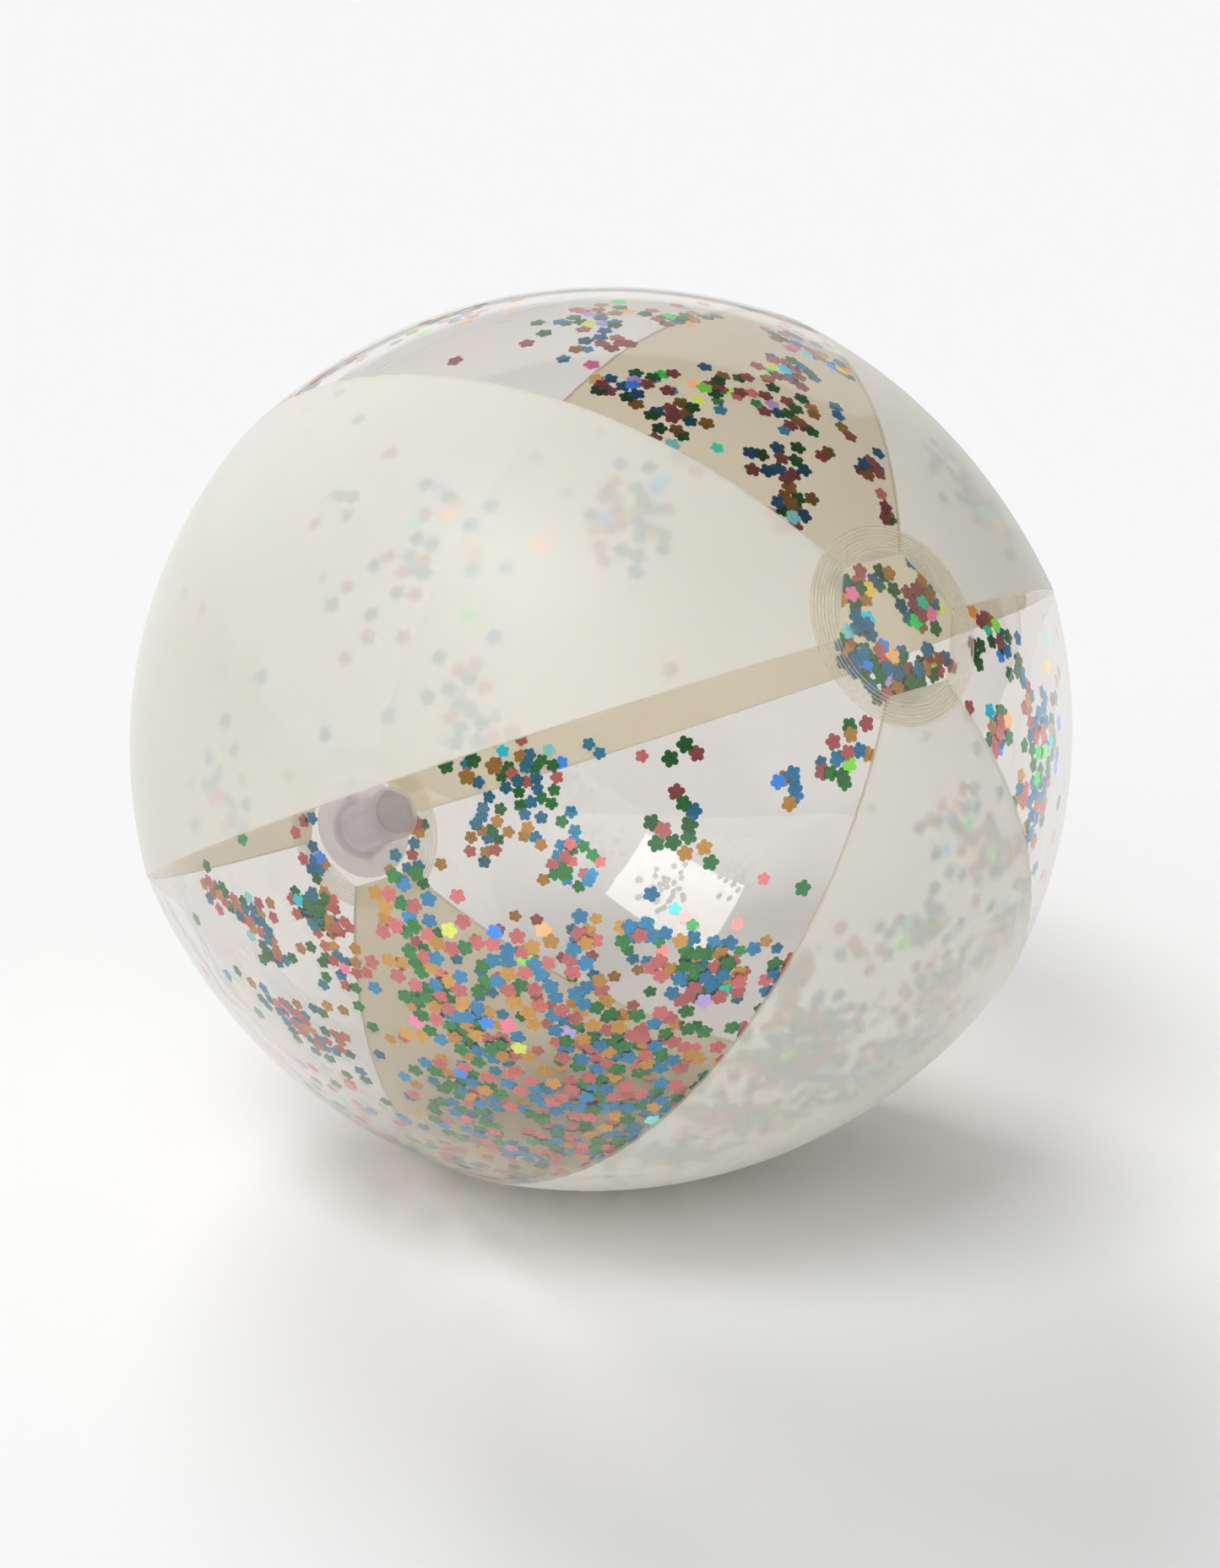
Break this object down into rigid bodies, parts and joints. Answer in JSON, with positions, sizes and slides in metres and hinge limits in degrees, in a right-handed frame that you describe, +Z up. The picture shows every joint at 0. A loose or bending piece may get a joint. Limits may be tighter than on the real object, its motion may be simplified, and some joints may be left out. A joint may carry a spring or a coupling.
{
  "type": "inflatable beach ball",
  "caption": "Inflatable beach ball of clear and cream gores with pole discs, a push-in valve and loose flower confetti inside.",
  "frame": {"origin": "on the floor under the middle of the ball, in the rest patch", "axes": "+Z up; the polar axis lies in the XZ plane, with the plain pole high on +X and the valve low on -X; Y runs from the left gores to the right ones"},
  "size_m": [0.3982, 0.4028, 0.3746],
  "materials": {
    "clear_pvc": "clear soft PVC film, glossy, slightly smoky",
    "cream_pvc": "translucent cream PVC film, semi-gloss",
    "disc_pvc": "clear PVC, faintly yellow, with embossed weld rings",
    "valve_pvc": "soft translucent PVC moulding, greyish lavender",
    "flap_pvc": "stippled translucent PVC film",
    "foil_pink": "metallic printed foil",
    "foil_blue": "metallic printed foil",
    "foil_green": "metallic printed foil",
    "foil_amber": "metallic printed foil"
  },
  "bodies": {
    "ball": {"clear_gore_lower_left": "clear_pvc", "clear_gore_lower_right": "clear_pvc", "clear_gore_top": "clear_pvc", "cream_gore_bottom": "cream_pvc", "cream_gore_upper_left": "cream_pvc", "cream_gore_upper_right": "cream_pvc", "plain_pole_disc": "disc_pvc", "valve_pole_disc": "disc_pvc", "valve_flange": "valve_pvc", "confetti_amber_04": "foil_amber", "confetti_amber_08": "foil_amber", "confetti_amber_12": "foil_amber", "confetti_amber_16": "foil_amber", "confetti_amber_20": "foil_amber", "confetti_amber_24": "foil_amber", "confetti_amber_28": "foil_amber", "confetti_amber_32": "foil_amber", "confetti_amber_36": "foil_amber", "confetti_amber_40": "foil_amber", "confetti_blue_02": "foil_blue", "confetti_blue_06": "foil_blue", "confetti_blue_10": "foil_blue", "confetti_blue_14": "foil_blue", "confetti_blue_18": "foil_blue", "confetti_blue_22": "foil_blue", "confetti_blue_26": "foil_blue", "confetti_blue_30": "foil_blue", "confetti_blue_34": "foil_blue", "confetti_blue_38": "foil_blue", "confetti_blue_42": "foil_blue", "confetti_green_03": "foil_green", "confetti_green_07": "foil_green", "confetti_green_11": "foil_green", "confetti_green_15": "foil_green", "confetti_green_19": "foil_green", "confetti_green_23": "foil_green", "confetti_green_27": "foil_green", "confetti_green_31": "foil_green", "confetti_green_35": "foil_green", "confetti_green_39": "foil_green", "confetti_pink_01": "foil_pink", "confetti_pink_05": "foil_pink", "confetti_pink_09": "foil_pink", "confetti_pink_13": "foil_pink", "confetti_pink_17": "foil_pink", "confetti_pink_21": "foil_pink", "confetti_pink_25": "foil_pink", "confetti_pink_29": "foil_pink", "confetti_pink_33": "foil_pink", "confetti_pink_37": "foil_pink", "confetti_pink_41": "foil_pink"},
    "stem": {"valve_stem": "valve_pvc"},
    "plug": {"valve_plug": "valve_pvc", "plug_strap": "valve_pvc"},
    "flap": {"check_flap": "flap_pvc"}
  },
  "joints": [
    {"name": "stem_slide", "type": "slide", "parent": "ball", "child": "stem", "axis": [-0.8654, 0, -0.5011], "range_m": [0, 0.0265]},
    {"name": "plug_hinge", "type": "hinge", "parent": "stem", "child": "plug", "pos_m": [-0.18569, 0, 0.10663], "axis": [0, 1, 0], "range_deg": [0, 120]},
    {"name": "flap_hinge", "type": "hinge", "parent": "stem", "child": "flap", "pos_m": [-0.15394, 0, 0.11779], "axis": [0, -1, 0], "range_deg": [0, 60], "stiffness_Nm_per_rad": 0.0003}
  ]
}
